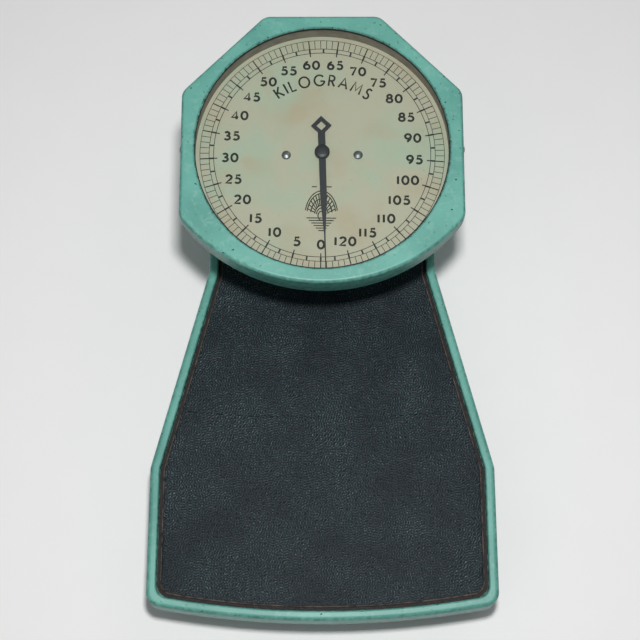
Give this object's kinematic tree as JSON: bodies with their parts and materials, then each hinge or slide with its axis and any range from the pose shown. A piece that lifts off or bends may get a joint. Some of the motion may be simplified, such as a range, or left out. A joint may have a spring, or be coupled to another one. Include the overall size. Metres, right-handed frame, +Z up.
{
  "type": "mechanical dial platform scale",
  "caption": "Low mechanical platform scale: tapered tray with a ribbed rubber mat, and an octagonal dial head raised on a pedestal behind it.",
  "frame": {"origin": "centre of the footprint, on the floor that the feet stand on", "axes": "+X to the right of the user, +Y from the front edge of the platform to the dial head, +Z up"},
  "size_m": [0.256, 0.434, 0.159],
  "materials": {
    "green_enamel": "gloss mint-green stoving enamel on pressed steel, worn and chipped at its edges",
    "black_rubber": "moulded ribbed rubber matting",
    "foot_rubber": "plain matte rubber",
    "window_glass": "clear window glass",
    "ring_card": "matte buff paint, browned with age",
    "dial_enamel": "printed cream paint, yellowed and patchy",
    "nickel": "bright nickel plate",
    "black_lacquer": "gloss black lacquer",
    "brass": "turned brass",
    "spring_steel": "oiled spring wire",
    "zinc_steel": "dull zinc plate",
    "lever_steel": "mill-finish steel",
    "cast_steel": "machined block"
  },
  "bodies": {
    "base": {"arbor_bushes": "brass", "base_pan": "green_enamel", "bezel": "green_enamel", "bezel_screws": "nickel", "bridge_pillars": "brass", "case_screws": "zinc_steel", "crank_pin": "lever_steel", "crank_stand": "lever_steel", "dial_case": "green_enamel", "dial_glass": "window_glass", "dial_plate": "dial_enamel", "dial_screws": "nickel", "foot_screws": "zinc_steel", "front_fulcrum_stands": "cast_steel", "glass_gasket": "foot_rubber", "movement_bridge": "zinc_steel", "pedestal_housing": "green_enamel", "pedestal_screws": "zinc_steel", "rack_guide": "zinc_steel", "rear_fulcrum_stands": "cast_steel", "rubber_feet": "foot_rubber", "spacer_ring": "ring_card", "yoke_legs": "lever_steel", "zero_yoke": "zinc_steel"},
    "platform": {"platform_tray": "green_enamel", "rubber_mat": "black_rubber", "front_load_blocks": "cast_steel", "rear_load_blocks": "cast_steel", "front_stiffener": "lever_steel", "rear_stiffener": "lever_steel"},
    "long_lever": {"long_lever": "lever_steel", "long_lever_pins": "lever_steel"},
    "short_lever": {"short_lever": "lever_steel", "short_lever_pins": "lever_steel"},
    "lever_link": {"lever_link": "lever_steel"},
    "draw_plate": {"draw_plate": "lever_steel", "main_springs": "spring_steel"},
    "bell_crank": {"bell_crank": "lever_steel"},
    "rack": {"rack": "brass"},
    "pointer": {"pinion_arbor": "brass", "pointer": "black_lacquer", "pointer_cap": "black_lacquer"},
    "spring_anchor": {"spring_anchor": "zinc_steel"},
    "zero_wheel": {"zero_wheel": "nickel", "zero_screw": "zinc_steel"}
  },
  "joints": [
    {"name": "platform_press", "type": "slide", "parent": "base", "child": "platform", "axis": [0, 0, -1], "range_m": [0, 0.0012], "stiffness_N_per_m": 980000},
    {"name": "long_lever_tilt", "type": "hinge", "parent": "base", "child": "long_lever", "pos_m": [0, -0.165, 0.041], "axis": [-1, 0, 0], "range_deg": [0, 2.8]},
    {"name": "short_lever_tilt", "type": "hinge", "parent": "base", "child": "short_lever", "pos_m": [0, 0.06988, 0.0215], "axis": [1, 0, 0], "range_deg": [0, 2.8]},
    {"name": "link_drop", "type": "slide", "parent": "base", "child": "lever_link", "axis": [0, 0, -1], "range_m": [0, 0.0057]},
    {"name": "draw_drop", "type": "slide", "parent": "base", "child": "draw_plate", "axis": [0, 0, -1], "range_m": [0, 0.0145], "deforming": ["main_springs"]},
    {"name": "bell_crank_turn", "type": "hinge", "parent": "base", "child": "bell_crank", "pos_m": [0, 0.11188, 0.068], "axis": [-1, 0, 0], "range_deg": [0, 36]},
    {"name": "rack_slide", "type": "slide", "parent": "base", "child": "rack", "axis": [0, 0.9976, 0.0698], "range_m": [0, 0.0309]},
    {"name": "pointer_turn", "type": "hinge", "parent": "base", "child": "pointer", "pos_m": [0, 0.11288, 0.152], "axis": [0, 0.0698, -0.9976], "range_deg": [0, 346]},
    {"name": "zero_wheel_turn", "type": "hinge", "parent": "base", "child": "zero_wheel", "pos_m": [0, 0.15788, 0.089], "axis": [0, 0, 1], "range_deg": [-720, 720]},
    {"name": "anchor_slide", "type": "slide", "parent": "base", "child": "spring_anchor", "axis": [0, 0, 1], "range_m": [-0.00205, 0.00205]}
  ],
  "couplings": [
    {"joint": "long_lever_tilt", "follows": "platform_press", "rad_per_m": 40},
    {"joint": "short_lever_tilt", "follows": "platform_press", "rad_per_m": 40},
    {"joint": "link_drop", "follows": "platform_press", "ratio": 4.6975},
    {"joint": "draw_drop", "follows": "platform_press", "ratio": 11.995},
    {"joint": "bell_crank_turn", "follows": "platform_press", "rad_per_m": 521.52},
    {"joint": "rack_slide", "follows": "platform_press", "ratio": 25.635},
    {"joint": "pointer_turn", "follows": "platform_press", "rad_per_m": 5026.5},
    {"joint": "anchor_slide", "follows": "zero_wheel_turn", "m_per_rad": 0.00015915}
  ]
}
